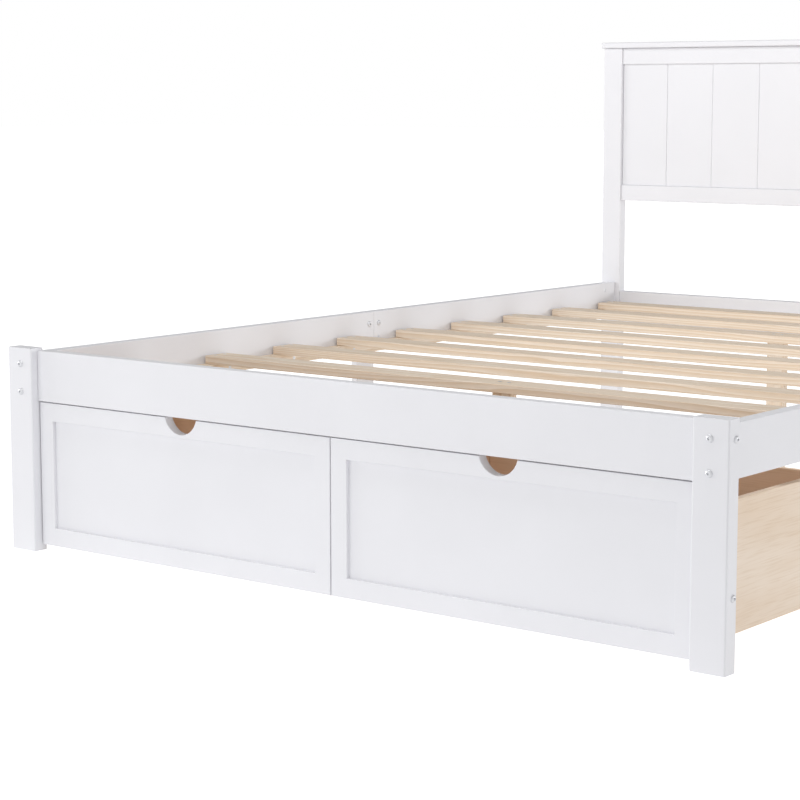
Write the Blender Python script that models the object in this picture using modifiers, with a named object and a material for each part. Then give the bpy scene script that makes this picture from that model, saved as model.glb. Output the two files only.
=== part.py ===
"""Full-size wooden bed frame with two roll-out drawers under the foot end.

Every length below is in millimetres and is turned into metres by mm(). X runs across the bed,
Y runs from the foot end to the headboard and Z is up. Lengths along Y are measured from the
front faces of the foot posts; the root empty carries that datum to its place, so that the
finished bed stands centred on the world origin.
"""

import math

import bmesh
import bpy

GAP = 0.3  # joint clearance between neighbouring pieces

# Whole bed
WIDTH = 1480.0  # outside of post to outside of post
INNER_LENGTH = 1960.0  # foot post front face to head post front face

# Posts and legs
FOOT_POST = (60.0, 30.0, 369.0)  # X, Y, height
HEAD_POST = (52.0, 25.0, 929.7)
POST_ROUND = 4.0
MID_LEG = (17.0, 58.0, 352.0)
CENTRE_LEG = (40.0, 20.0, 296.0)

# Rails
FOOT_RAIL = (14.5, 22.0, 273.5, 364.5)  # setback of the front face, thickness, bottom, top
HEAD_RAIL = (2.0, 22.0, 244.0, 336.0)
SIDE_RAIL = (17.0, 23.0, 276.0, 358.0)  # inset of the outer face, thickness, bottom, top
RAIL_JOINT_Y = 1004.0  # butt joint between the two lengths of each side rail
CLEAT = (24.0, 20.0)  # width, height of the strip the slats lie on

# Slats
SLAT_COUNT = 10
SLAT_FIRST_Y = 68.0
SLAT_PITCH = 201.0
SLAT = (1392.0, 62.0, 16.0)  # length, width, thickness
LEG_SLATS = (2, 7)  # slats with a centre leg under them, counted from 0

# Headboard
CAP = (5.0, 6.0, 14.0)  # overhang at the ends, overhang front and back, thickness
TOP_RAIL = (891.0, 929.7)
BOTTOM_RAIL = (560.0, 598.0)
HEAD_BOARD_RAIL = (3.0, 19.0)  # setback, thickness
PANEL = (7.0, 12.0)  # setback, thickness
PLANK_WIDTH = 125.0
GROOVE = (2.4, 1.6)  # width, depth of the V between planks

# Drawers
DRAWER_CENTRE_X = 339.5
DRAWER_FACE_Y = 17.0
DRAWER_FRONT = (677.0, 19.0, 11.5, 271.5)  # width, thickness, bottom, top
FRAME_WIDTH = 33.0
RECESS_DEPTH = 6.0
PULL_OFFSET = 8.0  # the finger pull sits this far from the middle, towards the other drawer
PULL_RADIUS = 37.0
PULL_RISE = 9.5  # centre of the pull's circle above the drawer's top edge
BOX_HALF_WIDTH = 333.0
BOX_BACK_Y = 443.0
BOX_BOARD = 12.0
BOX_HEIGHTS = (24.5, 228.5)
BOX_FLOOR = (41.3, 47.0)

# Castors: each drawer rolls on four wheels held in two bored rails under its floor
CASTOR_RAIL = (44.0, 95.0, 430.0, 12.5, 41.0)  # width, start, end, bottom, top
CASTOR_RAIL_X = 180.0
WHEEL_RADIUS = 20.0
WHEEL_WIDTH = 16.0
WHEEL_YS = (135.0, 385.0)
AXLE = (3.0, 3.08, 38.0)  # pin radius, bore radius, pin length

# Bolts through the foot posts
BOLT_HEAD = (5.8, 3.3)  # radius, height
BOLT_SHANK = (3.0, 3.3, 22.0)  # shank radius, bore radius, length
BOLT_SOCKET = (2.3, 1.8)  # hex radius, depth
BOLT_X = 708.0
BOLT_ZS = (340.0, 290.0)

BED_DEPTH_BACK = INNER_LENGTH + HEAD_POST[1] + CAP[1]
DATUM_Y = -(BED_DEPTH_BACK - BOLT_HEAD[1] - 0.1) / 2

COLOURS = {
    "white_paint": ((0.80, 0.80, 0.81), 0.38, 0.0),
    "pine": ((0.72, 0.60, 0.44), 0.62, 0.0),
    "plywood": ((0.60, 0.46, 0.31), 0.65, 0.0),
    "steel": ((0.62, 0.62, 0.63), 0.32, 1.0),
    "nylon": ((0.04, 0.04, 0.04), 0.45, 0.0),
}


def mm(*values):
    """Millimetres to metres: one number, or a tuple of them."""
    scaled = tuple(value * 0.001 for value in values)
    return scaled if len(scaled) > 1 else scaled[0]


def clear_scene():
    for obj in list(bpy.data.objects):
        bpy.data.objects.remove(obj, do_unlink=True)
    for mesh in list(bpy.data.meshes):
        bpy.data.meshes.remove(mesh)


def new_collection(name):
    collection = bpy.data.collections.new(name)
    bpy.context.scene.collection.children.link(collection)
    return collection


def make_material(name, kind):
    colour, roughness, metallic = COLOURS[kind]
    material = bpy.data.materials.new(f"{name}_{kind}")
    material.use_nodes = True
    shader = material.node_tree.nodes["Principled BSDF"]
    shader.inputs["Base Color"].default_value = (*colour, 1.0)
    shader.inputs["Roughness"].default_value = roughness
    shader.inputs["Metallic"].default_value = metallic
    material.diffuse_color = (*colour, 1.0)
    return material


def add_empty(name, location, parent=None):
    empty = bpy.data.objects.new(name, None)
    empty.empty_display_size = 0.05
    empty.location = mm(*location)
    empty.parent = parent
    BED.objects.link(empty)
    return empty


def add_object(name, mesh, location, parent, kind):
    """A named part: its mesh, its place under its parent and its own material."""
    obj = bpy.data.objects.new(name, mesh)
    obj.location = mm(*location)
    obj.parent = parent
    mesh.materials.append(make_material(name, kind))
    BED.objects.link(obj)
    return obj


def add_cutter(name, mesh, location, parent):
    cutter = bpy.data.objects.new(name, mesh)
    cutter.location = mm(*location)
    cutter.parent = parent
    cutter.hide_render = True
    cutter.display_type = "WIRE"
    CUTTERS.objects.link(cutter)
    return cutter


def cut(obj, cutter, label):
    modifier = obj.modifiers.new(label, "BOOLEAN")
    modifier.operation = "DIFFERENCE"
    modifier.solver = "EXACT"
    modifier.object = cutter


def block_mesh(name, size, long_axis=None, radius=0.0, ease=0.0):
    """A block centred on its origin. Edges along long_axis are rounded, then all others eased."""
    bm = bmesh.new()
    bmesh.ops.create_cube(bm, size=1.0)
    bmesh.ops.scale(bm, vec=mm(*size), verts=bm.verts)
    if radius:
        along = []
        for edge in bm.edges:
            run = edge.verts[1].co - edge.verts[0].co
            if abs(run[long_axis]) > 0.9 * run.length:
                along.append(edge)
        bmesh.ops.bevel(bm, geom=along, offset=mm(radius), segments=3, profile=0.5, affect="EDGES")
    if ease:
        ends = []
        for edge in bm.edges:
            run = edge.verts[1].co - edge.verts[0].co
            sharp = len(edge.link_faces) == 2 and edge.calc_face_angle() > 1.2
            if sharp and (long_axis is None or not radius or abs(run[long_axis]) < 1e-7):
                ends.append(edge)
        bmesh.ops.bevel(bm, geom=ends, offset=mm(ease), segments=1, affect="EDGES")
    mesh = bpy.data.meshes.new(name)
    bm.to_mesh(mesh)
    bm.free()
    return mesh


def add_block(name, xs, ys, zs, parent, kind, **shape):
    """A block between two corners given as (low, high) pairs along each axis."""
    size = [high - low for low, high in (xs, ys, zs)]
    middle = [(high + low) / 2 for low, high in (xs, ys, zs)]
    return add_object(name, block_mesh(name, size, **shape), middle, parent, kind)


def cylinder_mesh(name, radius, length, sides):
    """A cylinder along Z, centred on its origin."""
    bm = bmesh.new()
    bmesh.ops.create_cone(
        bm,
        cap_ends=True,
        segments=sides,
        radius1=mm(radius),
        radius2=mm(radius),
        depth=mm(length),
    )
    mesh = bpy.data.meshes.new(name)
    bm.to_mesh(mesh)
    bm.free()
    return mesh


def turned_mesh(name, profile):
    """Half a section in the XZ plane, from the top of the axis down its outside to the bottom."""
    bm = bmesh.new()
    verts = [bm.verts.new(mm(radius, 0.0, height)) for radius, height in profile]
    for first, second in zip(verts, verts[1:]):
        bm.edges.new((first, second))
    mesh = bpy.data.meshes.new(name)
    bm.to_mesh(mesh)
    bm.free()
    return mesh


def add_screw(obj, steps):
    modifier = obj.modifiers.new("Turn", "SCREW")
    modifier.axis = "Z"
    modifier.angle = math.tau
    modifier.steps = steps
    modifier.render_steps = steps
    modifier.use_merge_vertices = True
    modifier.merge_threshold = 0.00001


def build_posts(root):
    half = WIDTH / 2
    for side, sign in (("left", -1), ("right", 1)):
        width, depth, height = FOOT_POST
        post = add_block(
            f"foot_post_{side}",
            sorted((sign * half, sign * (half - width))),
            (0.0, depth),
            (0.0, height),
            root,
            "white_paint",
            long_axis=2,
            radius=POST_ROUND,
            ease=1.2,
        )
        build_bolts(side, sign, post, root)

        width, depth, height = HEAD_POST
        add_block(
            f"head_post_{side}",
            sorted((sign * half, sign * (half - width))),
            (INNER_LENGTH, INNER_LENGTH + depth),
            (0.0, height),
            root,
            "white_paint",
            long_axis=2,
            radius=2.0,
            ease=0.8,
        )


def build_bolts(side, sign, post, root):
    """Two button-head socket bolts through the front of a foot post, in bored holes."""
    head_radius, head_height = BOLT_HEAD
    shank_radius, bore_radius, shank_length = BOLT_SHANK
    profile = [
        (0.0, head_height),
        (head_radius * 0.52, head_height),
        (head_radius * 0.83, head_height * 0.72),
        (head_radius, head_height * 0.28),
        (head_radius, 0.0),
        (shank_radius, 0.0),
        (shank_radius, -shank_length),
        (0.0, -shank_length),
    ]
    for number, height in enumerate(BOLT_ZS, 1):
        name = f"foot_post_bolt_{side}_{number}"
        place = (sign * BOLT_X, -0.1, height)
        bolt = add_object(name, turned_mesh(name, profile), place, root, "steel")
        bolt.rotation_euler = (math.pi / 2, 0.0, 0.0)
        add_screw(bolt, 28)

        socket_radius, socket_depth = BOLT_SOCKET
        socket = add_cutter(
            f"{name}_socket",
            cylinder_mesh(f"{name}_socket", socket_radius, 2 * socket_depth, 6),
            (place[0], place[1] - head_height, height),
            root,
        )
        socket.rotation_euler = (math.pi / 2, 0.0, 0.0)
        cut(bolt, socket, "Socket")

        bore = add_cutter(
            f"{name}_bore",
            cylinder_mesh(f"{name}_bore", bore_radius, 2 * (shank_length + 1.5), 28),
            (sign * BOLT_X, 0.0, height),
            root,
        )
        bore.rotation_euler = (math.pi / 2, 0.0, 0.0)
        cut(post, bore, f"Bore {number}")


def build_rails(root):
    half = WIDTH / 2
    setback, thickness, bottom, top = FOOT_RAIL
    reach = half - FOOT_POST[0] - GAP
    add_block(
        "foot_rail",
        (-reach, reach),
        (setback, setback + thickness),
        (bottom, top),
        root,
        "white_paint",
        long_axis=0,
        radius=1.6,
    )

    setback, thickness, bottom, top = HEAD_RAIL
    reach = half - HEAD_POST[0] - GAP
    start = INNER_LENGTH + setback
    add_block(
        "head_rail",
        (-reach, reach),
        (start, start + thickness),
        (bottom, top),
        root,
        "white_paint",
        long_axis=0,
        radius=1.6,
    )

    inset, thickness, bottom, top = SIDE_RAIL
    spans = {
        "foot": (FOOT_POST[1] + GAP, RAIL_JOINT_Y - GAP / 2),
        "head": (RAIL_JOINT_Y + GAP / 2, INNER_LENGTH - GAP),
    }
    leg_depth, leg_width, leg_height = MID_LEG
    for side, sign in (("left", -1), ("right", 1)):
        outer = half - inset
        inner = outer - thickness
        for end, (start, stop) in spans.items():
            add_block(
                f"side_rail_{side}_{end}",
                sorted((sign * outer, sign * inner)),
                (start, stop),
                (bottom, top),
                root,
                "white_paint",
                long_axis=1,
                radius=1.6,
            )
            cleat_start = start + (FOOT_RAIL[0] + FOOT_RAIL[1] - FOOT_POST[1] if end == "foot" else 0.0)
            add_block(
                f"slat_cleat_{side}_{end}",
                sorted((sign * (inner - GAP), sign * (inner - CLEAT[0]))),
                (cleat_start, stop - (2.0 if end == "head" else 0.0)),
                (bottom, bottom + CLEAT[1]),
                root,
                "pine",
            )
        add_block(
            f"mid_leg_{side}",
            sorted((sign * (outer + GAP), sign * half)),
            (RAIL_JOINT_Y - leg_width / 2, RAIL_JOINT_Y + leg_width / 2),
            (0.0, leg_height),
            root,
            "white_paint",
            long_axis=2,
            radius=2.5,
            ease=0.8,
        )


def build_slats(root):
    length, width, thickness = SLAT
    bottom = SIDE_RAIL[2] + CLEAT[1] + GAP
    for number in range(SLAT_COUNT):
        start = SLAT_FIRST_Y + number * SLAT_PITCH
        add_block(
            f"slat_{number + 1:02d}",
            (-length / 2, length / 2),
            (start, start + width),
            (bottom, bottom + thickness),
            root,
            "pine",
            long_axis=0,
            radius=1.5,
        )
    leg_x, leg_y, height = CENTRE_LEG
    for name, number in zip(("centre_leg_foot", "centre_leg_head"), LEG_SLATS):
        middle = SLAT_FIRST_Y + number * SLAT_PITCH + width / 2
        add_block(
            name,
            (-leg_x / 2, leg_x / 2),
            (middle - leg_y / 2, middle + leg_y / 2),
            (0.0, height),
            root,
            "pine",
            ease=1.0,
        )


def grooved_panel_mesh(name, width, height, thickness):
    """A board with V grooves on both faces at every plank joint, centred on its origin."""
    groove_width, groove_depth = GROOVE
    half = width / 2
    front, back = -thickness / 2, thickness / 2
    count = int(half // PLANK_WIDTH)
    joints = [(step + 0.5) * PLANK_WIDTH for step in range(-count - 1, count + 1)]
    joints = [x for x in joints if abs(x) < half - groove_width]

    def face_line(y, inward):
        line = [(-half, y)]
        for x in joints:
            line += [(x - groove_width / 2, y), (x, y + inward), (x + groove_width / 2, y)]
        return line + [(half, y)]

    outline = face_line(front, groove_depth) + face_line(back, -groove_depth)[::-1]
    bm = bmesh.new()
    verts = [bm.verts.new(mm(x, y, -height / 2)) for x, y in outline]
    floor = bm.faces.new(verts)
    raised = bmesh.ops.extrude_face_region(bm, geom=[floor])
    lifted = [item for item in raised["geom"] if isinstance(item, bmesh.types.BMVert)]
    bmesh.ops.translate(bm, vec=(0.0, 0.0, mm(height)), verts=lifted)
    bmesh.ops.recalc_face_normals(bm, faces=bm.faces)
    mesh = bpy.data.meshes.new(name)
    bm.to_mesh(mesh)
    bm.free()
    return mesh


def build_headboard(root):
    half = WIDTH / 2
    end_over, face_over, thickness = CAP
    back = INNER_LENGTH + HEAD_POST[1]
    add_block(
        "headboard_cap",
        (-half - end_over, half + end_over),
        (INNER_LENGTH - face_over, back + face_over),
        (HEAD_POST[2] + GAP, HEAD_POST[2] + GAP + thickness),
        root,
        "white_paint",
        long_axis=0,
        radius=3.0,
        ease=1.0,
    )
    setback, thickness = HEAD_BOARD_RAIL
    reach = half - HEAD_POST[0] - GAP
    for name, (bottom, top) in (("top", TOP_RAIL), ("bottom", BOTTOM_RAIL)):
        add_block(
            f"headboard_{name}_rail",
            (-reach, reach),
            (INNER_LENGTH + setback, INNER_LENGTH + setback + thickness),
            (bottom, top),
            root,
            "white_paint",
            long_axis=0,
            radius=1.6,
        )
    setback, thickness = PANEL
    low, high = BOTTOM_RAIL[1] + GAP, TOP_RAIL[0] - GAP
    add_object(
        "headboard_panel",
        grooved_panel_mesh("headboard_panel", 2 * reach, high - low, thickness),
        (0.0, INNER_LENGTH + setback + thickness / 2, (low + high) / 2),
        root,
        "white_paint",
    )


def build_drawer_front(side, sign, drawer):
    """A framed front made from one board: sunk middle, and a half-round pull in the top edge."""
    width, thickness, bottom, top = DRAWER_FRONT
    front = add_block(
        f"drawer_{side}_front",
        (-width / 2, width / 2),
        (0.0, thickness),
        (bottom, top),
        drawer,
        "white_paint",
        ease=1.0,
    )
    middle = (bottom + top) / 2
    recess_size = (width - 2 * FRAME_WIDTH, 2 * RECESS_DEPTH, top - bottom - 2 * FRAME_WIDTH)
    recess_name = f"drawer_{side}_recess"
    recess = add_cutter(recess_name, block_mesh(recess_name, recess_size), (0.0, 0.0, middle), drawer)
    cut(front, recess, "Recess")

    pull_name = f"drawer_{side}_pull"
    pull_place = (-sign * PULL_OFFSET, thickness / 2, top + PULL_RISE)
    pull_mesh = cylinder_mesh(pull_name, PULL_RADIUS, 3 * thickness, 48)
    pull = add_cutter(pull_name, pull_mesh, pull_place, drawer)
    pull.rotation_euler = (math.pi / 2, 0.0, 0.0)
    cut(front, pull, "Pull")


def build_drawer_box(side, drawer):
    start = DRAWER_FRONT[1] + GAP
    stop = BOX_BACK_Y - DRAWER_FACE_Y
    inner = BOX_HALF_WIDTH - BOX_BOARD
    for hand, sign in (("outer_left", -1), ("outer_right", 1)):
        add_block(
            f"drawer_{side}_side_{hand[6:]}",
            sorted((sign * BOX_HALF_WIDTH, sign * inner)),
            (start, stop),
            BOX_HEIGHTS,
            drawer,
            "pine",
            ease=0.8,
        )
    add_block(
        f"drawer_{side}_back",
        (-inner + GAP, inner - GAP),
        (stop - BOX_BOARD, stop),
        BOX_HEIGHTS,
        drawer,
        "pine",
        ease=0.8,
    )
    add_block(
        f"drawer_{side}_floor",
        (-inner + GAP, inner - GAP),
        (start, stop - BOX_BOARD - GAP),
        BOX_FLOOR,
        drawer,
        "plywood",
    )


def wheel_profile():
    """Wheel and axle pin in one: top of the axis, down the outside, bottom of the axis."""
    pin_radius, _, pin_length = AXLE
    half = WHEEL_WIDTH / 2
    upper = [
        (0.0, pin_length / 2),
        (pin_radius, pin_length / 2),
        (pin_radius, half + 0.3),
        (WHEEL_RADIUS * 0.30, half + 0.3),
        (WHEEL_RADIUS * 0.30, half - 1.0),
        (WHEEL_RADIUS * 0.72, half - 1.0),
        (WHEEL_RADIUS * 0.78, half),
        (WHEEL_RADIUS - 1.6, half),
        (WHEEL_RADIUS, half - 1.6),
    ]
    return upper + [(radius, -height) for radius, height in reversed(upper)]


def build_castors(side, drawer):
    width, start, stop, bottom, top = CASTOR_RAIL
    for hand, sign in (("left", -1), ("right", 1)):
        middle_x = sign * CASTOR_RAIL_X
        rail = add_block(
            f"drawer_{side}_castor_rail_{hand}",
            (middle_x - width / 2, middle_x + width / 2),
            (start - DRAWER_FACE_Y, stop - DRAWER_FACE_Y),
            (bottom, top),
            drawer,
            "pine",
        )
        for end, wheel_y in zip(("front", "back"), WHEEL_YS):
            place = (middle_x, wheel_y - DRAWER_FACE_Y, WHEEL_RADIUS)
            label = f"drawer_{side}_wheel_{hand}_{end}"
            slot_size = (WHEEL_WIDTH + 1.6, 2 * WHEEL_RADIUS + 5.0, 90.0)
            slot = add_cutter(f"{label}_slot", block_mesh(f"{label}_slot", slot_size), place, drawer)
            cut(rail, slot, f"Slot {end}")
            bore_mesh = cylinder_mesh(f"{label}_bore", AXLE[1], width + 20.0, 48)
            bore = add_cutter(f"{label}_bore", bore_mesh, place, drawer)
            bore.rotation_euler = (0.0, math.pi / 2, 0.0)
            cut(rail, bore, f"Bore {end}")

            mesh = turned_mesh(label, wheel_profile())
            wheel = add_object(label, mesh, place, drawer, "nylon")
            wheel.rotation_euler = (0.0, math.pi / 2, 0.0)
            add_screw(wheel, 36)


def build_drawers(root):
    for side, sign in (("left", -1), ("right", 1)):
        place = (sign * DRAWER_CENTRE_X, DRAWER_FACE_Y, 0.0)
        drawer = add_empty(f"drawer_{side}_slide", place, root)
        build_drawer_front(side, sign, drawer)
        build_drawer_box(side, drawer)
        build_castors(side, drawer)


def main():
    root = add_empty("bed_frame_datum", (0.0, DATUM_Y, 0.0))
    build_posts(root)
    build_rails(root)
    build_slats(root)
    build_headboard(root)
    build_drawers(root)


clear_scene()
BED = new_collection("bed_frame")
CUTTERS = new_collection("bed_frame_cutters")
CUTTERS.hide_render = True
main()
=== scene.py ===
"""Full-size wooden bed frame with two roll-out drawers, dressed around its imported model.

Laid out as an add-on and run as a script: the operators build one group of pieces each,
and main() calls them in order. Lengths are in metres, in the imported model's own frame.
"""

import math

import bmesh
import bpy
from mathutils import Euler, Matrix, Vector


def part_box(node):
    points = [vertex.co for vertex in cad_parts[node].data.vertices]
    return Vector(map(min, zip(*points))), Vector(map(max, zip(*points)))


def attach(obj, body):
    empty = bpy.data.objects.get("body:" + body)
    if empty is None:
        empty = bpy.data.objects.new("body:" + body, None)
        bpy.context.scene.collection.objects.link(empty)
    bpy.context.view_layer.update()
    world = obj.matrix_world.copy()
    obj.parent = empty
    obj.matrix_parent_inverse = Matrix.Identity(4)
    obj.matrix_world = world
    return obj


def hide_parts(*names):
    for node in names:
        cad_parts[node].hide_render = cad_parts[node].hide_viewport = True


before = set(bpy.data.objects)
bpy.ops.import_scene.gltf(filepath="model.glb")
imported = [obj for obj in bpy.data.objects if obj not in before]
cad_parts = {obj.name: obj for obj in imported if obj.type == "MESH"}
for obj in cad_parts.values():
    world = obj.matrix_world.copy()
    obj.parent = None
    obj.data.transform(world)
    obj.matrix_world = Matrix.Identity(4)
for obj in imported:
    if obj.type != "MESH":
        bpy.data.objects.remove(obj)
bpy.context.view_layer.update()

bl_info = {
    "name": "Bed Frame with Drawers",
    "version": (1, 0, 0),
    "blender": (4, 5, 0),
    "location": "View3D > Sidebar > Bed Frame",
    "description": "Builds the painted frame, slats, drawers, fasteners and studio of a bed frame",
    "category": "Object",
}

FRAME = "frame"
SIDES = ("left", "right")
SIGN = {"left": -1.0, "right": 1.0}
ENDS = ("foot", "head")
AXIS = {"x": 0, "y": 1, "z": 2}
MULTIPLY_COLOURS = {"data_type": "RGBA", "blend_type": "MULTIPLY"}
# Edges sharper than these, in degrees, stay sharp: on boards, and on turned and small parts.
SMOOTH_ANGLE = 38.0
SMALL_PART_ANGLE = 30.0
# A bar's own edges turn by more than this, in radians.
CORNER_TURN = 1.0
FLOOR_HALF_SIZE = 40.0

# Fixed roundings: along a bar's length, and the easing of its ends.
CAP_ROUND = 0.0032
HEAD_POST_ROUND = 0.0022
MID_LEG_ROUND = 0.0026
PAINTED_EASE = 0.0011
LEG_ROUND, LEG_EASE = 0.0018, 0.0012
BOARD_ROUND, BOARD_EASE = 0.0012, 0.0006
FLOOR_ROUND, FLOOR_EASE = 0.0006, 0.0004

# Headboard planks and slats: how much smaller each is than its share, and how far it may wander.
PLANK_GAP = 0.0003
PLANK_INSET = 0.0006
PLANK_WANDER = (0.0, 0.00025, 0.0)
SLAT_INSET = 0.0024
SLAT_WANDER = (0.0008, 0.0006, 0.0)

# Drawers: how far a panel reaches behind its frame, its edges, how far its back stands in from
# the frame's back, and the height of a box's middle over its floor.
PANEL_OVERLAP = 0.006
PANEL_ROUND, PANEL_EASE = 0.0008, 0.0006
PANEL_BACK_GAP = 0.002
BOX_MIDDLE = 0.09

# Fasteners: heights over the floor, and distances along the members.
FOOT_POST_SIDE_BOLTS = (0.339, 0.111)
FOOT_POST_SIDE_DEPTH = 0.0185
RAIL_JOINT_BOLTS = (0.332, 0.299)
RAIL_JOINT_SHIFT = 0.016
HEAD_POST_BACK_BOLTS = (0.335, 0.299)
HEAD_POST_BACK_OUT = 0.712
HEAD_POST_SIDE_BOLTS = (0.910, 0.579, 0.290)
SIDE_RAIL_NUTS = (0.340, 0.306)
FOOT_RAIL_NUT = 0.339
HEAD_RAIL_NUT = 0.290
NUT_INSET = 0.045
SLAT_SCREW_INSET = 0.012
SLAT_SCREW_SHARES = (0.28, 0.72)
LEG_SCREW_SHIFT = 0.010
CLEAT_SCREWS = 5
BOX_SCREWS = (0.045, 0.120, 0.200)
FRONT_SCREWS = (0.085, 0.185)
FRONT_SCREW_SHARES = (0.12, 0.88)
FRONT_SCREW_DEPTH = 0.002

# The floor's glow as a light and as it is seen.
FLOOR_GLOW = 0.41
FLOOR_GLOW_SEEN = 0.95
# The world's light: an even base, then what comes from the plus and the minus side of an axis.
WORLD_BASE = 0.02
WORLD_LIGHT = {"X": (0.53, 0.56), "Y": (0.10, 0.67)}
# Lamps: place, aim, width, height and watts.
LAMPS = {
    "left_softbox": ((-8.0, -2.5, 1.3), (0.0, 0.0, 0.3), 2.5, 1.2, 145.0),
    "front_strip": ((-2.5, -7.5, 1.12), (-0.75, 0.0, 0.32), 2.4, 0.25, 17.0),
    "near_strip": ((-1.9, -3.4, 0.85), (-0.75, -0.8, 0.3), 1.6, 0.2, 10.5),
    "back_softbox": ((6.0, 4.0, 1.2), (0.0, 0.0, 0.3), 2.5, 1.2, 130.0),
    "head_softbox": ((0.3, -1.2, 2.6), (0.0, 1.0, 0.7), 1.5, 0.8, 25.0),
}
# The camera: its turn to the left and down in degrees, and its lens in millimetres.
CAMERA = {"place": (2.2614, -3.6845, 0.818), "left": 38.037, "down": 7.839, "lens": 99.81}


# ---------------------------------------------------------------- small helpers


def hex_to_linear(code):
    """An sRGB hex string as a linear colour."""
    channels = [int(code[place : place + 2], 16) / 255 for place in (1, 3, 5)]
    return tuple(c / 12.92 if c <= 0.04045 else ((c + 0.055) / 1.055) ** 2.4 for c in channels)


def add_node(tree, kind, settings=None, inputs=None, stops=()):
    """Adds a node, sets its properties, and fills or links its inputs by name or number.

    A colour ramp takes two stops, each a position and a linear colour.
    """
    node = tree.nodes.new(kind)
    for name, value in (settings or {}).items():
        setattr(node, name, value)
    for name, value in (inputs or {}).items():
        if isinstance(value, bpy.types.NodeSocket):
            tree.links.new(value, node.inputs[name])
        else:
            node.inputs[name].default_value = value
    for number, (position, colour) in enumerate(stops):
        stop = node.color_ramp.elements[number]
        stop.position = position
        stop.color = (*colour, 1.0)
    return node


def corners(node):
    low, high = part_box(node)
    return Vector(low), Vector(high)


def outer_side(node, sign):
    """X of the face that looks away from the middle of the bed."""
    low, high = corners(node)
    return sign * max(abs(low.x), abs(high.x))


def inner_side(node, sign):
    """X of the face that looks at the middle of the bed."""
    low, high = corners(node)
    return sign * min(abs(low.x), abs(high.x))


def slat_nodes():
    names = (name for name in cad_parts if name.startswith("slat_"))
    return sorted(name for name in names if name[5:].isdigit())


def middle(node):
    low, high = corners(node)
    return (low + high) / 2


def new_object(name, mesh):
    obj = bpy.data.objects.new(name, mesh)
    bpy.context.scene.collection.objects.link(obj)
    return obj


def mesh_from(bm, name):
    mesh = bpy.data.meshes.new(name)
    bm.to_mesh(mesh)
    bm.free()
    return mesh


def object_from(bm, name):
    return new_object(name, mesh_from(bm, name))


def evaluated_mesh(obj):
    graph = bpy.context.evaluated_depsgraph_get()
    return bpy.data.meshes.new_from_object(obj.evaluated_get(graph), depsgraph=graph)


def baked(obj):
    """Swaps an object's mesh for what its modifiers make of it, and drops the modifiers."""
    mesh = evaluated_mesh(obj)
    name = obj.name
    obj.modifiers.clear()
    old = obj.data
    obj.data = mesh
    if isinstance(old, bpy.types.Mesh) and not old.users:
        bpy.data.meshes.remove(old)
    mesh.name = name
    return obj


def softened(obj, angle=SMOOTH_ANGLE):
    """Smooth rounded edges beside flat faces: sharp edges by angle, then weighted normals."""
    mesh = obj.data
    mesh.polygons.foreach_set("use_smooth", [True] * len(mesh.polygons))
    mesh.set_sharp_from_angle(angle=math.radians(angle))
    weighted = obj.modifiers.new("Even normals", "WEIGHTED_NORMAL")
    weighted.keep_sharp = True
    return baked(obj)


def fitted(obj, body, material=None, stands_for=()):
    """Gives a finished piece its material, its body and the nodes it stands for."""
    if material is not None:
        obj.data.materials.clear()
        obj.data.materials.append(material)
    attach(obj, body)
    if stands_for:
        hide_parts(*stands_for)
    return obj


def edges_along(bm, axis, across=False):
    """Sharp edges that run along an axis, or all the other sharp ones."""
    found = []
    for edge in bm.edges:
        if len(edge.link_faces) != 2 or edge.calc_face_angle() < CORNER_TURN:
            continue
        run = edge.verts[1].co - edge.verts[0].co
        along = abs(run[axis]) > 0.99 * run.length
        if along != across:
            found.append(edge)
    return found


def add_bar(bm, low, high, axis, radius, ease, segments=4):
    """A planed bar between two corners, rounded along its length and eased at its ends."""
    bar = bmesh.new()
    bmesh.ops.create_cube(bar, size=1.0)
    size = high - low
    bmesh.ops.scale(bar, vec=size, verts=bar.verts)
    for across, offset, steps in ((False, radius, segments), (True, ease, 2)):
        edges = edges_along(bar, axis, across)
        bmesh.ops.bevel(
            bar, geom=edges, offset=offset, segments=steps, profile=0.5, affect="EDGES"
        )
    bmesh.ops.translate(bar, vec=(low + high) / 2, verts=bar.verts)
    part = mesh_from(bar, "bar")
    bm.from_mesh(part)
    bpy.data.meshes.remove(part)


def bar_piece(name, low, high, axis, radius, ease):
    bm = bmesh.new()
    add_bar(bm, low, high, axis, radius, ease)
    return softened(object_from(bm, name))


def add_lathe(bm, profile, place, axis, steps=32):
    """Turns a (radius, height) profile, top to bottom, about an axis through a place."""
    turn = Vector((0, 0, 1)).rotation_difference(Vector(axis)).to_matrix().to_4x4()
    matrix = Matrix.Translation(place) @ turn
    rings = []
    for radius, height in profile:
        if radius == 0.0:
            rings.append([bm.verts.new(matrix @ Vector((0, 0, height)))])
            continue
        ring = []
        for step in range(steps):
            angle = math.tau * step / steps
            point = Vector((radius * math.cos(angle), radius * math.sin(angle), height))
            ring.append(bm.verts.new(matrix @ point))
        rings.append(ring)
    for upper, lower in zip(rings, rings[1:]):
        for step in range(steps):
            after = (step + 1) % steps
            if len(upper) == 1:
                bm.faces.new((upper[0], lower[step], lower[after]))
            elif len(lower) == 1:
                bm.faces.new((upper[step], lower[0], upper[after]))
            else:
                bm.faces.new((upper[step], lower[step], lower[after], upper[after]))


# ---------------------------------------------------------------- settings


def length_property(name, description, millimetres):
    return bpy.props.FloatProperty(
        name=name,
        description=description,
        default=millimetres / 1000,
        min=0.0,
        subtype="DISTANCE",
        unit="LENGTH",
    )


def colour_property(name, description, code):
    return bpy.props.FloatVectorProperty(
        name=name,
        description=description,
        default=hex_to_linear(code),
        min=0.0,
        max=1.0,
        size=3,
        subtype="COLOR",
    )


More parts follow.
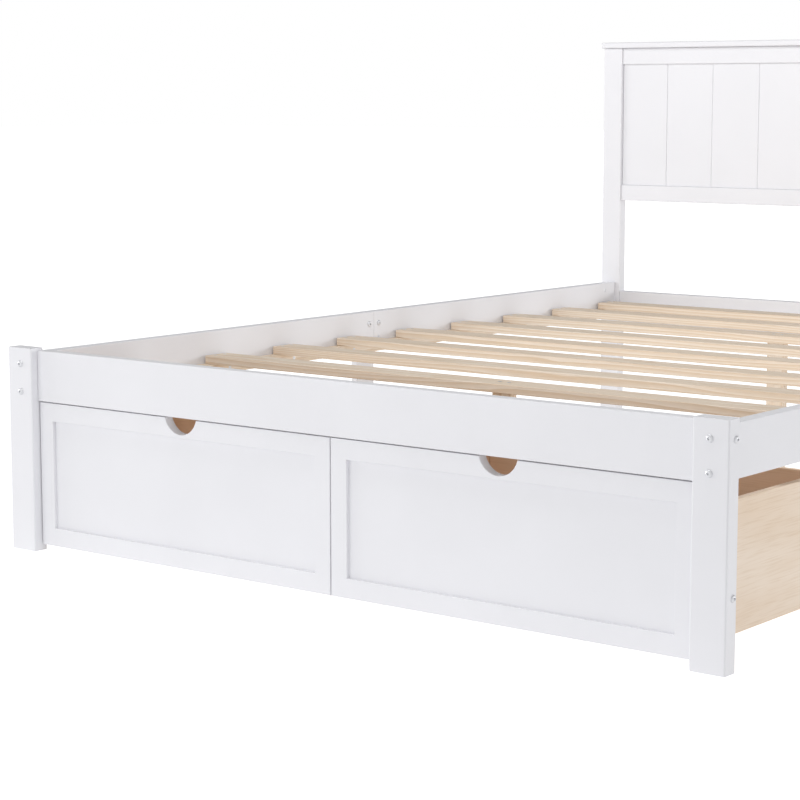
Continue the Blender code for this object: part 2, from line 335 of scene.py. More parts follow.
class BedFrameSizes(bpy.types.PropertyGroup):
    """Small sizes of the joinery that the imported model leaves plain."""

    post_round: length_property("Post rounding", "Radius along the corners of the posts", 3.0)
    rail_round: length_property("Rail rounding", "Radius along the edges of rails and boards", 1.8)
    slat_round: length_property("Slat rounding", "Radius along the edges of the slats", 1.6)
    plank_chamfer: length_property("Plank chamfer", "Chamfer at both edges of a plank", 1.3)
    plank_width: length_property("Plank width", "Width of one headboard plank", 125.0)
    panel_bead: length_property("Panel bead", "Rounding where a drawer frame meets its panel", 1.4)
    bolt_head: length_property("Bolt head", "Radius of a button bolt head", 5.8)
    screw_head: length_property("Screw head", "Radius of a countersunk screw head", 3.9)
    nut_radius: length_property("Barrel nut", "Radius of a barrel nut's end", 5.0)
    seed: bpy.props.IntProperty(
        name="Seed", description="Picks the board and screw variation", default=7, min=0
    )


class BedFrameColours(bpy.types.PropertyGroup):
    """Finishes, and the painted shade inside the drawer boxes."""

    paint: colour_property("Paint", "Satin white paint", "#EBEBEF")
    pine_pale: colour_property("Pale pine", "Wood between the growth rings", "#F2E6D7")
    pine_ring: colour_property("Ring pine", "Darker late wood of the growth rings", "#E4D0B8")
    ply_face: colour_property("Plywood face", "Rotary-cut face veneer", "#F3E6D8")
    ply_dark: colour_property("Plywood figure", "Darker figure of the veneer", "#E0C9AF")
    # Painted shade: this warm tone darkens the faces inside the drawer boxes and stands in for the
    # shade there.
    ply_inside: colour_property("Plywood inside", "Warm tone over the drawers' inner faces", "#F1DFD0")
    zinc: colour_property("Zinc", "Bright zinc on the bolts", "#E4E5E8")
    tyre: colour_property("Wheel", "Moulded nylon wheels", "#2B2C2E")
    floor: colour_property("Floor", "Pale studio floor", "#D8D8D8")


def sizes():
    return bpy.context.scene.bed_frame_sizes


def colours():
    return bpy.context.scene.bed_frame_colours


# ---------------------------------------------------------------- materials


def new_material(name):
    material = bpy.data.materials.new(name)
    material.use_nodes = True
    tree = material.node_tree
    tree.nodes.clear()
    shader = add_node(tree, "ShaderNodeBsdfPrincipled")
    add_node(tree, "ShaderNodeOutputMaterial", inputs={"Surface": shader.outputs["BSDF"]})
    return material, tree, shader


def stretched(tree, run, factor):
    """Object coordinates squeezed along the run of the grain, with each board's own shift."""
    where = add_node(tree, "ShaderNodeTexCoord")
    board = add_node(tree, "ShaderNodeAttribute", {"attribute_name": "board"})
    shift = add_node(
        tree,
        "ShaderNodeVectorMath",
        {"operation": "SCALE"},
        {0: (3.1, 5.3, 7.7), "Scale": board.outputs["Fac"]},
    )
    moved = add_node(
        tree,
        "ShaderNodeVectorMath",
        {"operation": "ADD"},
        {0: where.outputs["Object"], 1: shift.outputs["Vector"]},
    )
    squeeze = [1.0, 1.0, 1.0]
    squeeze[AXIS[run]] = factor
    return add_node(
        tree,
        "ShaderNodeVectorMath",
        {"operation": "MULTIPLY"},
        {0: moved.outputs["Vector"], 1: squeeze},
    ).outputs["Vector"]


def shared(make):
    """Makes a material the first time it is asked for, and finds it by its name after that."""

    def find_or_make(*run):
        name = "_".join((make.__name__, *run))
        material = bpy.data.materials.get(name)
        if material is None:
            material, tree, shader = new_material(name)
            make(tree, shader, *run)
        return material

    return find_or_make


@shared
def satin_white_paint(tree, shader, run):
    """Sprayed satin polyurethane over planed pine: even and cool white, a soft wide gloss.

    A fine orange peel of about 1.5 mm breaks the gloss, and the grain below stands through
    the film as faint long ridges about 5 mm apart.
    """
    along = stretched(tree, run, 0.035)
    where = add_node(tree, "ShaderNodeTexCoord")
    cloud = add_node(
        tree,
        "ShaderNodeTexNoise",
        inputs={"Vector": where.outputs["Object"], "Scale": 5.0, "Detail": 3.0},
    )
    ridges = add_node(
        tree, "ShaderNodeTexNoise", inputs={"Vector": along, "Scale": 210.0, "Detail": 4.0}
    )
    peel = add_node(
        tree,
        "ShaderNodeTexNoise",
        inputs={"Vector": where.outputs["Object"], "Scale": 650.0, "Detail": 1.0},
    )
    paint = Vector(colours().paint)
    tint = add_node(
        tree,
        "ShaderNodeValToRGB",
        inputs={"Fac": cloud.outputs["Fac"]},
        stops=((0.3, paint * 0.975), (0.7, paint)),
    )
    tree.links.new(tint.outputs["Color"], shader.inputs["Base Color"])
    gloss = add_node(
        tree,
        "ShaderNodeMapRange",
        inputs={
            "Value": cloud.outputs["Fac"],
            "From Min": 0.3,
            "From Max": 0.7,
            "To Min": 0.34,
            "To Max": 0.44,
        },
    )
    tree.links.new(gloss.outputs["Result"], shader.inputs["Roughness"])
    low = add_node(
        tree,
        "ShaderNodeBump",
        inputs={"Strength": 0.12, "Distance": 0.0004, "Height": ridges.outputs["Fac"]},
    )
    high = add_node(
        tree,
        "ShaderNodeBump",
        inputs={
            "Strength": 0.10,
            "Distance": 0.0002,
            "Height": peel.outputs["Fac"],
            "Normal": low.outputs["Normal"],
        },
    )
    tree.links.new(high.outputs["Normal"], shader.inputs["Normal"])
    shader.inputs["IOR"].default_value = 1.5
    shader.inputs["Specular IOR Level"].default_value = 0.45


@shared
def planed_pine(tree, shader, run):
    """Bare planed pine: pale cream between warmer growth rings, dry and nearly matt.

    Rings are about 5 mm apart across the board and wander slowly along it; fibres of under
    a millimetre are drawn about 1.5 mm wide so that they show.
    """
    along = stretched(tree, run, 0.06)
    warp = add_node(
        tree, "ShaderNodeTexNoise", inputs={"Vector": along, "Scale": 16.0, "Detail": 2.0}
    )
    bent = add_node(
        tree,
        "ShaderNodeVectorMath",
        {"operation": "MULTIPLY_ADD"},
        {0: warp.outputs["Color"], 1: (0.05, 0.05, 0.05), 2: along},
    )
    rings = add_node(
        tree,
        "ShaderNodeTexWave",
        {"wave_type": "RINGS", "rings_direction": run.upper(), "wave_profile": "SAW"},
        {
            "Vector": bent.outputs["Vector"],
            "Scale": 55.0,
            "Distortion": 1.2,
            "Detail": 2.0,
            "Detail Scale": 1.5,
        },
    )
    fibres = add_node(
        tree,
        "ShaderNodeTexNoise",
        inputs={"Vector": stretched(tree, run, 0.02), "Scale": 700.0, "Detail": 3.0},
    )
    blotch = add_node(
        tree, "ShaderNodeTexNoise", inputs={"Vector": along, "Scale": 22.0, "Detail": 2.0}
    )
    wood = add_node(
        tree,
        "ShaderNodeValToRGB",
        inputs={"Fac": rings.outputs["Fac"]},
        stops=((0.15, colours().pine_pale), (0.95, colours().pine_ring)),
    )
    streak = add_node(
        tree,
        "ShaderNodeValToRGB",
        inputs={"Fac": fibres.outputs["Fac"]},
        stops=((0.30, (0.84, 0.80, 0.75)), (0.62, (1.0, 1.0, 1.0))),
    )
    streaked = add_node(
        tree,
        "ShaderNodeMix",
        MULTIPLY_COLOURS,
        {"Factor": 0.5, 6: wood.outputs["Color"], 7: streak.outputs["Color"]},
    )
    warm = add_node(
        tree,
        "ShaderNodeMapRange",
        inputs={
            "Value": blotch.outputs["Fac"],
            "From Min": 0.35,
            "From Max": 0.7,
            "To Min": 0.0,
            "To Max": 0.5,
        },
    )
    blush = add_node(
        tree,
        "ShaderNodeMix",
        MULTIPLY_COLOURS,
        {"Factor": warm.outputs["Result"], 6: streaked.outputs[2], 7: (0.98, 0.92, 0.86, 1.0)},
    )
    tree.links.new(blush.outputs[2], shader.inputs["Base Color"])
    bump = add_node(
        tree,
        "ShaderNodeBump",
        inputs={"Strength": 0.25, "Distance": 0.0004, "Height": fibres.outputs["Fac"]},
    )
    tree.links.new(bump.outputs["Normal"], shader.inputs["Normal"])
    shader.inputs["Roughness"].default_value = 0.62
    shader.inputs["IOR"].default_value = 1.45
    shader.inputs["Specular IOR Level"].default_value = 0.3


@shared
def sanded_plywood(tree, shader, run):
    """Sanded rotary-cut plywood: broad quiet figure, a dry surface, no gloss.

    Faces marked 'inside' are toned warmer and darker: painted shade for the inside of the closed
    boxes.
    """
    broad = add_node(
        tree,
        "ShaderNodeTexNoise",
        inputs={
            "Vector": stretched(tree, run, 0.12),
            "Scale": 14.0,
            "Detail": 4.0,
            "Distortion": 0.8,
        },
    )
    fine = add_node(
        tree,
        "ShaderNodeTexNoise",
        inputs={"Vector": stretched(tree, run, 0.03), "Scale": 480.0, "Detail": 2.0},
    )
    wood = add_node(
        tree,
        "ShaderNodeValToRGB",
        inputs={"Fac": broad.outputs["Fac"]},
        stops=((0.35, colours().ply_face), (0.85, colours().ply_dark)),
    )
    pores = add_node(
        tree,
        "ShaderNodeValToRGB",
        inputs={"Fac": fine.outputs["Fac"]},
        stops=((0.32, (0.86, 0.80, 0.72)), (0.5, (1.0, 1.0, 1.0))),
    )
    mixed = add_node(
        tree,
        "ShaderNodeMix",
        MULTIPLY_COLOURS,
        {"Factor": 0.45, 6: wood.outputs["Color"], 7: pores.outputs["Color"]},
    )
    # Painted shade: faces that look into a box are multiplied by a warmer, darker plywood colour.
    inner = add_node(tree, "ShaderNodeAttribute", {"attribute_name": "inside"})
    shaded_inside = add_node(
        tree,
        "ShaderNodeMix",
        MULTIPLY_COLOURS,
        {"Factor": inner.outputs["Fac"], 6: mixed.outputs[2], 7: (*colours().ply_inside, 1.0)},
    )
    tree.links.new(shaded_inside.outputs[2], shader.inputs["Base Color"])
    bump = add_node(
        tree,
        "ShaderNodeBump",
        inputs={"Strength": 0.15, "Distance": 0.0003, "Height": fine.outputs["Fac"]},
    )
    tree.links.new(bump.outputs["Normal"], shader.inputs["Normal"])
    shader.inputs["Roughness"].default_value = 0.7
    shader.inputs["Specular IOR Level"].default_value = 0.25


@shared
def bright_zinc_plate(tree, shader):
    """Bright zinc-plated steel: a cool silver with slight spangle from the plating bath."""
    where = add_node(tree, "ShaderNodeTexCoord")
    spangle = add_node(
        tree,
        "ShaderNodeTexNoise",
        inputs={"Vector": where.outputs["Object"], "Scale": 900.0, "Detail": 2.0},
    )
    rough = add_node(
        tree,
        "ShaderNodeMapRange",
        inputs={"Value": spangle.outputs["Fac"], "To Min": 0.36, "To Max": 0.5},
    )
    tree.links.new(rough.outputs["Result"], shader.inputs["Roughness"])
    shader.inputs["Base Color"].default_value = (*colours().zinc, 1.0)
    shader.inputs["Metallic"].default_value = 1.0


@shared
def moulded_nylon(tree, shader):
    """Moulded black nylon: a dull even gloss with a fine tool texture."""
    where = add_node(tree, "ShaderNodeTexCoord")
    grit = add_node(
        tree,
        "ShaderNodeTexNoise",
        inputs={"Vector": where.outputs["Object"], "Scale": 1400.0, "Detail": 1.0},
    )
    bump = add_node(
        tree,
        "ShaderNodeBump",
        inputs={"Strength": 0.2, "Distance": 0.0001, "Height": grit.outputs["Fac"]},
    )
    tree.links.new(bump.outputs["Normal"], shader.inputs["Normal"])
    shader.inputs["Base Color"].default_value = (*colours().tyre, 1.0)
    shader.inputs["Roughness"].default_value = 0.5
    shader.inputs["IOR"].default_value = 1.53


# ---------------------------------------------------------------- geometry node trees


def new_tree(name, sockets):
    """A geometry node tree with its named inputs, and the sockets that give their values."""
    tree = bpy.data.node_groups.new(name, "GeometryNodeTree")
    for label, kind in sockets.items():
        tree.interface.new_socket(name=label, in_out="INPUT", socket_type=f"NodeSocket{kind}")
    tree.interface.new_socket(name="Geometry", in_out="OUTPUT", socket_type="NodeSocketGeometry")
    return tree, add_node(tree, "NodeGroupInput").outputs


def boards_in_a_row():
    """Node tree: rounded boards along Z, repeated by a step, each with its own 'board' number."""
    found = bpy.data.node_groups.get("boards_in_a_row")
    if found:
        return found
    sockets = {
        "Count": "Int",
        "First Centre": "Vector",
        "Step": "Vector",
        "Length": "Float",
        "Width": "Float",
        "Thickness": "Float",
        "Edge Radius": "Float",
        "Edge Steps": "Int",
        "Turn": "Vector",
        "Wander": "Vector",
        "Seed": "Int",
        "Material": "Material",
    }
    tree, given = new_tree("boards_in_a_row", sockets)
    ends = []
    for share in (-0.5, 0.5):
        reach = add_node(
            tree, "ShaderNodeMath", {"operation": "MULTIPLY"}, {0: given["Length"], 1: share}
        )
        ends.append(add_node(tree, "ShaderNodeCombineXYZ", inputs={"Z": reach.outputs[0]}))
    path = add_node(
        tree,
        "GeometryNodeCurvePrimitiveLine",
        inputs={"Start": ends[0].outputs[0], "End": ends[1].outputs[0]},
    )
    outline = add_node(
        tree,
        "GeometryNodeCurvePrimitiveQuadrilateral",
        inputs={"Width": given["Width"], "Height": given["Thickness"]},
    )
    rounded = add_node(
        tree,
        "GeometryNodeFilletCurve",
        {"mode": "POLY"},
        {
            "Curve": outline.outputs["Curve"],
            "Count": given["Edge Steps"],
            "Radius": given["Edge Radius"],
        },
    )
    board = add_node(
        tree,
        "GeometryNodeCurveToMesh",
        inputs={
            "Curve": path.outputs["Curve"],
            "Profile Curve": rounded.outputs["Curve"],
            "Fill Caps": True,
        },
    )
    row = add_node(
        tree,
        "GeometryNodeMeshLine",
        {"mode": "OFFSET"},
        {"Count": given["Count"], "Start Location": given["First Centre"], "Offset": given["Step"]},
    )
    minus_wander = add_node(
        tree, "ShaderNodeVectorMath", {"operation": "SCALE"}, {0: given["Wander"], "Scale": -1.0}
    )
    wander = add_node(
        tree,
        "FunctionNodeRandomValue",
        {"data_type": "FLOAT_VECTOR"},
        {0: minus_wander.outputs["Vector"], 1: given["Wander"], "Seed": given["Seed"]},
    )
    placed = add_node(
        tree,
        "GeometryNodeSetPosition",
        inputs={"Geometry": row.outputs["Mesh"], "Offset": wander.outputs[0]},
    )
    copies = add_node(
        tree,
        "GeometryNodeInstanceOnPoints",
        inputs={
            "Points": placed.outputs["Geometry"],
            "Instance": board.outputs["Mesh"],
            "Rotation": given["Turn"],
        },
    )
    number = add_node(
        tree,
        "FunctionNodeRandomValue",
        {"data_type": "FLOAT"},
        {2: 0.0, 3: 1.0, "Seed": given["Seed"]},
    )
    marked = add_node(
        tree,
        "GeometryNodeStoreNamedAttribute",
        {"data_type": "FLOAT", "domain": "INSTANCE"},
        {"Geometry": copies.outputs["Instances"], "Name": "board", "Value": number.outputs[1]},
    )
    real = add_node(
        tree, "GeometryNodeRealizeInstances", inputs={"Geometry": marked.outputs["Geometry"]}
    )
    painted = add_node(
        tree,
        "GeometryNodeSetMaterial",
        inputs={"Geometry": real.outputs["Geometry"], "Material": given["Material"]},
    )
    add_node(tree, "NodeGroupOutput", inputs={0: painted.outputs["Geometry"]})
    return tree


def fasteners_on_points():
    """Node tree: one fastener on each point, facing its 'facing' vector, turned at random."""
    found = bpy.data.node_groups.get("fasteners_on_points")
    if found:
        return found
    sockets = {"Points": "Geometry", "Fastener": "Object", "Seed": "Int", "Material": "Material"}
    tree, given = new_tree("fasteners_on_points", sockets)
    part = add_node(
        tree,
        "GeometryNodeObjectInfo",
        inputs={"Object": given["Fastener"], "As Instance": True},
    )
    facing = add_node(
        tree,
        "GeometryNodeInputNamedAttribute",
        {"data_type": "FLOAT_VECTOR"},
        {"Name": "facing"},
    )
    aligned = add_node(
        tree,
        "FunctionNodeAlignRotationToVector",
        {"axis": "Z"},
        {"Vector": facing.outputs["Attribute"]},
    )
    spin = add_node(
        tree,
        "FunctionNodeRandomValue",
        {"data_type": "FLOAT"},
        {2: 0.0, 3: math.tau, "Seed": given["Seed"]},
    )
    about = add_node(tree, "ShaderNodeCombineXYZ", inputs={"Z": spin.outputs[1]})
    turned = add_node(
        tree,
        "FunctionNodeRotateRotation",
        {"rotation_space": "LOCAL"},
        {"Rotation": aligned.outputs["Rotation"], "Rotate By": about.outputs["Vector"]},
    )
    copies = add_node(
        tree,
        "GeometryNodeInstanceOnPoints",
        inputs={
            "Points": given["Points"],
            "Instance": part.outputs["Geometry"],
            "Rotation": turned.outputs["Rotation"],
        },
    )
    real = add_node(
        tree, "GeometryNodeRealizeInstances", inputs={"Geometry": copies.outputs["Instances"]}
    )
    plated = add_node(
        tree,
        "GeometryNodeSetMaterial",
        inputs={"Geometry": real.outputs["Geometry"], "Material": given["Material"]},
    )
    add_node(tree, "NodeGroupOutput", inputs={0: plated.outputs["Geometry"]})
    return tree


def grown(obj, tree, values):
    """Runs a node tree on an object, sets its inputs by identifier, and keeps the plain mesh."""
    modifier = obj.modifiers.new(tree.name, "NODES")
    modifier.node_group = tree
    sockets = (item for item in tree.interface.items_tree if item.in_out == "INPUT")
    identifiers = {socket.name: socket.identifier for socket in sockets}
    for name, value in values.items():
        modifier[identifiers[name]] = value
    return baked(obj)


def board_row(name, values):
    bm = bmesh.new()
    bm.verts.new((0, 0, 0))
    return softened(grown(object_from(bm, name), boards_in_a_row(), values))


def fastener_row(name, part, spots, seed, material):
    """Fasteners of one kind on one body, at (place, facing) spots."""
    bm = bmesh.new()
    layer = bm.verts.layers.float_vector.new("facing")
    for place, facing in spots:
        vert = bm.verts.new(place)
        vert[layer] = Vector(facing)
    values = {"Fastener": part, "Seed": seed, "Material": material}
    return grown(object_from(bm, name), fasteners_on_points(), values)


# ---------------------------------------------------------------- fasteners


def ring_of(bm, steps, reach, height):
    """A closed ring of vertices at one height; reach gives the radius at an angle."""
    ring = []
    for step in range(steps):
        angle = math.tau * step / steps
        radius = reach(angle)
        ring.append(bm.verts.new((radius * math.cos(angle), radius * math.sin(angle), height)))
    return ring


def bolt_part():
    """Button head with a hexagon socket, its face on z = 0 and its dome towards +Z."""
    radius = sizes().bolt_head
    # Heights of the head, its straight rim and the socket's floor, then two radii: the socket's
    # corners and the flat crown round it.
    height, rim, socket_floor = 0.0031, 0.0007, 0.0010
    socket_corner, crown = 0.0024, 0.0034
    steps, dome_steps = 36, 6

    def hexagon(angle, shrink):
        sector = (angle + math.pi / 6) % (math.pi / 3) - math.pi / 6
        return shrink * socket_corner * math.cos(math.pi / 6) / math.cos(sector)

    bm = bmesh.new()
    dome = [(radius, 0.0), (radius, rim)]
    for step in range(1, dome_steps):
        angle = math.radians(90.0 * step / dome_steps)
        dome.append((radius * math.cos(angle) ** 0.9, rim + (height - rim) * math.sin(angle)))
    rings = []
    for ring_radius, ring_height in dome:
        ring_radius = max(ring_radius, crown)
        rings.append(ring_of(bm, steps, lambda angle: ring_radius, ring_height))
    for depth, shrink in ((height, 1.0), (socket_floor, 1.0), (socket_floor, 0.3)):
        rings.append(ring_of(bm, steps, lambda angle: hexagon(angle, shrink), depth))
    for lower, upper in zip(rings, rings[1:]):
        for step in range(steps):
            after = (step + 1) % steps
            bm.faces.new((lower[step], lower[after], upper[after], upper[step]))
    bm.faces.new(rings[-1])
    bm.faces.new(rings[0][::-1])
    return softened(object_from(bm, "bolt_part"), SMALL_PART_ANGLE)


def screw_part():
    """Screw head that stands a little proud, its cross drawn as two thin bars on top."""
    radius = sizes().screw_head
    cross_width, cross_thickness, cross_height = 0.0008, 0.0002, 0.00042
    profile = [
        (0.0, -0.0010),
        (0.0006, -0.0009),
        (0.0011, 0.0001),
        (radius * 0.9, 0.0003),
        (radius, 0.0001),
        (radius * 0.98, -0.0004),
        (0.0, -0.0012),
    ]
    bm = bmesh.new()
    add_lathe(bm, profile, (0, 0, 0), (0, 0, 1), steps=24)
    for turn in (0.0, math.pi / 2):
        bar = bmesh.new()
        bmesh.ops.create_cube(bar, size=1.0)
        size = (radius * 1.15, cross_width, cross_thickness)
        bmesh.ops.scale(bar, vec=size, verts=bar.verts)
        bmesh.ops.translate(bar, vec=(0, 0, cross_height), verts=bar.verts)
        matrix = Matrix.Rotation(turn, 3, "Z")
        bmesh.ops.rotate(bar, cent=(0, 0, 0), matrix=matrix, verts=bar.verts)
        mesh = mesh_from(bar, "cross_bar")
        bm.from_mesh(mesh)
        bpy.data.meshes.remove(mesh)
    bmesh.ops.recalc_face_normals(bm, faces=bm.faces)
    return softened(object_from(bm, "screw_part"), SMALL_PART_ANGLE)


def nut_part():
    """End of a barrel nut, chamfered and nearly flush in its bore."""
    radius = sizes().nut_radius
    profile = [
        (0.0, 0.0003),
        (radius * 0.86, 0.0003),
        (radius, -0.0001),
        (radius, -0.0006),
        (0.0, -0.0006),
    ]
    bm = bmesh.new()
    add_lathe(bm, profile, (0, 0, 0), (0, 0, 1), steps=28)
    return softened(object_from(bm, "nut_part"), SMALL_PART_ANGLE)


# ---------------------------------------------------------------- operators


class BEDFRAME_OT_painted_joinery(bpy.types.Operator):
    """Painted posts, rails and mid legs with rounded edges"""

    bl_idname = "bedframe.painted_joinery"
    bl_label = "Painted Joinery"

    def execute(self, context):
        size = sizes()
        post, rail = size.post_round, size.rail_round
        members = {
            "head_rail": ("x", rail),
            "foot_rail": ("x", rail),
            "headboard_top_rail": ("x", rail),
            "headboard_bottom_rail": ("x", rail),
            "headboard_cap": ("x", CAP_ROUND),
        }
        for side in SIDES:
            members[f"foot_post_{side}"] = ("z", post)
            members[f"head_post_{side}"] = ("z", HEAD_POST_ROUND)
            members[f"mid_leg_{side}"] = ("z", MID_LEG_ROUND)
            for end in ENDS:
                members[f"side_rail_{side}_{end}"] = ("y", rail)
        for node, (run, radius) in members.items():
            low, high = corners(node)
            piece = bar_piece(f"painted_{node}", low, high, AXIS[run], radius, PAINTED_EASE)
            fitted(piece, FRAME, satin_white_paint(run), [node])
        return {"FINISHED"}


class BEDFRAME_OT_headboard_planks(bpy.types.Operator):
    """Vertical planks of the headboard, chamfered where they meet"""

    bl_idname = "bedframe.headboard_planks"
    bl_label = "Headboard Planks"

    def execute(self, context):
        size = sizes()
        low, high = corners("headboard_panel")
        centre = (low + high) / 2
        count = round((high.x - low.x) / size.plank_width)
        width = (high.x - low.x) / count
        planks = board_row(
            "headboard_planks",
            {
                "Count": count,
                "First Centre": (low.x + width / 2, centre.y, centre.z),
                "Step": (width, 0.0, 0.0),
                "Length": high.z - low.z,
                "Width": width - PLANK_GAP,
                "Thickness": high.y - low.y - PLANK_INSET,
                "Edge Radius": size.plank_chamfer,
                "Edge Steps": 1,
                "Turn": (0.0, 0.0, 0.0),
                "Wander": PLANK_WANDER,
                "Seed": size.seed,
                "Material": satin_white_paint("z"),
            },
        )
        fitted(planks, FRAME, None, ["headboard_panel"])
        return {"FINISHED"}


class BEDFRAME_OT_slats(bpy.types.Operator):
    """Pine slats, the cleats they lie on, and the two centre legs"""

    bl_idname = "bedframe.slats"
    bl_label = "Slats"

    def execute(self, context):
        size = sizes()
        nodes = slat_nodes()
        low, high = corners(nodes[0])
        pitch = middle(nodes[1]).y - middle(nodes[0]).y
        slats = board_row(
            "pine_slats",
            {
                "Count": len(nodes),
                "First Centre": tuple((low + high) / 2),
                "Step": (0.0, pitch, 0.0),
                "Length": high.x - low.x - SLAT_INSET,
                "Width": high.z - low.z,
                "Thickness": high.y - low.y,
                "Edge Radius": size.slat_round,
                "Edge Steps": 4,
                "Turn": (0.0, math.pi / 2, 0.0),
                "Wander": SLAT_WANDER,
                "Seed": size.seed + 3,
                "Material": planed_pine("x"),
            },
        )
        fitted(slats, FRAME, None, nodes)
        for side in SIDES:
            for end in ENDS:
                node = f"slat_cleat_{side}_{end}"
                low, high = corners(node)
                piece = bar_piece(f"pine_{node}", low, high, AXIS["y"], BOARD_ROUND, BOARD_EASE)
                fitted(piece, FRAME, planed_pine("y"), [node])
        for end in ENDS:
            node = f"centre_leg_{end}"
            low, high = corners(node)
            piece = bar_piece(f"pine_{node}", low, high, AXIS["z"], LEG_ROUND, LEG_EASE)
            fitted(piece, FRAME, planed_pine("z"), [node])
        return {"FINISHED"}


def arc_points(centre_x, centre_z, radius, top, steps=40):
    """Half-round notch, walked from its right mouth down and up to its left mouth."""
    reach = math.acos((centre_z - top) / radius)
    points = []
    for step in range(steps + 1):
        angle = -math.pi / 2 + reach - 2 * reach * step / steps
        x, z = radius * math.cos(angle), radius * math.sin(angle)
        points.append((centre_x + x, centre_z + z))
    return points


def plate_mesh(name, loops, thickness, round_over, matrix):
    """A flat plate from outlines, the first one solid and the rest holes, with rounded rims."""
    curve = bpy.data.curves.new(name, "CURVE")
    curve.dimensions = "2D"
    curve.fill_mode = "BOTH"
    curve.extrude = thickness / 2 - round_over
    curve.bevel_depth = round_over
    curve.bevel_resolution = 2
    curve.offset = -round_over
    for loop in loops:
        spline = curve.splines.new("POLY")
        spline.points.add(len(loop) - 1)
        for point, (x, y) in zip(spline.points, loop):
            point.co = (x, y, 0.0, 1.0)
        spline.use_cyclic_u = True
    holder = new_object(name, curve)
    mesh = evaluated_mesh(holder)
    bpy.data.objects.remove(holder)
    bpy.data.curves.remove(curve)
    bm = bmesh.new()
    bm.from_mesh(mesh)
    bmesh.ops.remove_doubles(bm, verts=bm.verts, dist=1e-6)
    bmesh.ops.transform(bm, matrix=matrix, verts=bm.verts)
    bmesh.ops.recalc_face_normals(bm, faces=bm.faces)
    bm.to_mesh(mesh)
    bm.free()
    return mesh


class BEDFRAME_OT_drawers(bpy.types.Operator):
    """Drawer fronts with sunk panels and finger pulls, and the plywood boxes behind them"""

    bl_idname = "bedframe.drawers"
    bl_label = "Drawers"

    frame_width: length_property("Frame width", "Width of the frame round a drawer panel", 33.0)
    recess: length_property("Recess", "Depth of the panel behind the frame", 6.0)
    pull_radius: length_property("Pull radius", "Radius of the half-round finger pull", 37.0)
    pull_rise: length_property("Pull rise", "Height of the pull's centre over the top edge", 9.5)
    pull_offset: length_property("Pull offset", "Shift of the pull towards the other drawer", 8.0)

    def front(self, side):
        node = f"drawer_{side}_front"
        low, high = corners(node)
        centre = (low + high) / 2
        pull_x = centre.x - SIGN[side] * self.pull_offset
        notch = arc_points(pull_x, high.z + self.pull_rise, self.pull_radius, high.z)
        outline = [(low.x, low.z), (high.x, low.z), (high.x, high.z)] + notch + [(low.x, high.z)]
        edge = self.frame_width
        window = [
            (low.x + edge, low.z + edge),
            (low.x + edge, high.z - edge),
            (high.x - edge, high.z - edge),
            (high.x - edge, low.z + edge),
        ]
        thickness = high.y - low.y
        stand = Matrix.Translation((0, centre.y, 0)) @ Matrix.Rotation(math.pi / 2, 4, "X")
        name = f"drawer_{side}_front_frame"
        mesh = plate_mesh(name, [outline, window], thickness, sizes().panel_bead, stand)
        piece = softened(new_object(name, mesh))
        fitted(piece, f"drawer_{side}", satin_white_paint("x"), [node])

        name = f"drawer_{side}_front_panel"
        hidden = edge - PANEL_OVERLAP
        first = low + Vector((hidden, self.recess, hidden))
        last = high - Vector((hidden, PANEL_BACK_GAP, hidden))
        bm = bmesh.new()
        add_bar(bm, first, last, AXIS["x"], PANEL_ROUND, PANEL_EASE, segments=2)
        panel = softened(object_from(bm, name))
        fitted(panel, f"drawer_{side}", satin_white_paint("x"))

    def mark_inside(self, piece, centre):
        """Gives each face an 'inside' value of 1 where it looks at the middle of the box; the plywood
        paints shade there.
        """
        marks = piece.data.attributes.new("inside", "FLOAT", "FACE")
        for face, mark in zip(piece.data.polygons, marks.data):
            mark.value = float(face.normal.dot(centre - face.center) > 0.02)

    def box(self, side):
        body = f"drawer_{side}"
        centre = middle(f"drawer_{side}_floor") + Vector((0.0, 0.0, BOX_MIDDLE))
        for part, run, radius, ease, slot in (
            ("side_left", "y", BOARD_ROUND, BOARD_EASE, "pine"),
            ("side_right", "y", BOARD_ROUND, BOARD_EASE, "pine"),
            ("back", "x", BOARD_ROUND, BOARD_EASE, "pine"),
            ("floor", "x", FLOOR_ROUND, FLOOR_EASE, "plywood"),
        ):
            node = f"drawer_{side}_{part}"
            low, high = corners(node)
            piece = bar_piece(f"ply_{node}", low, high, AXIS[run], radius, ease)
            self.mark_inside(piece, centre)
            fitted(piece, body, sanded_plywood(run), [node])

    def execute(self, context):
        for side in SIDES:
            self.front(side)
            self.box(side)
        return {"FINISHED"}


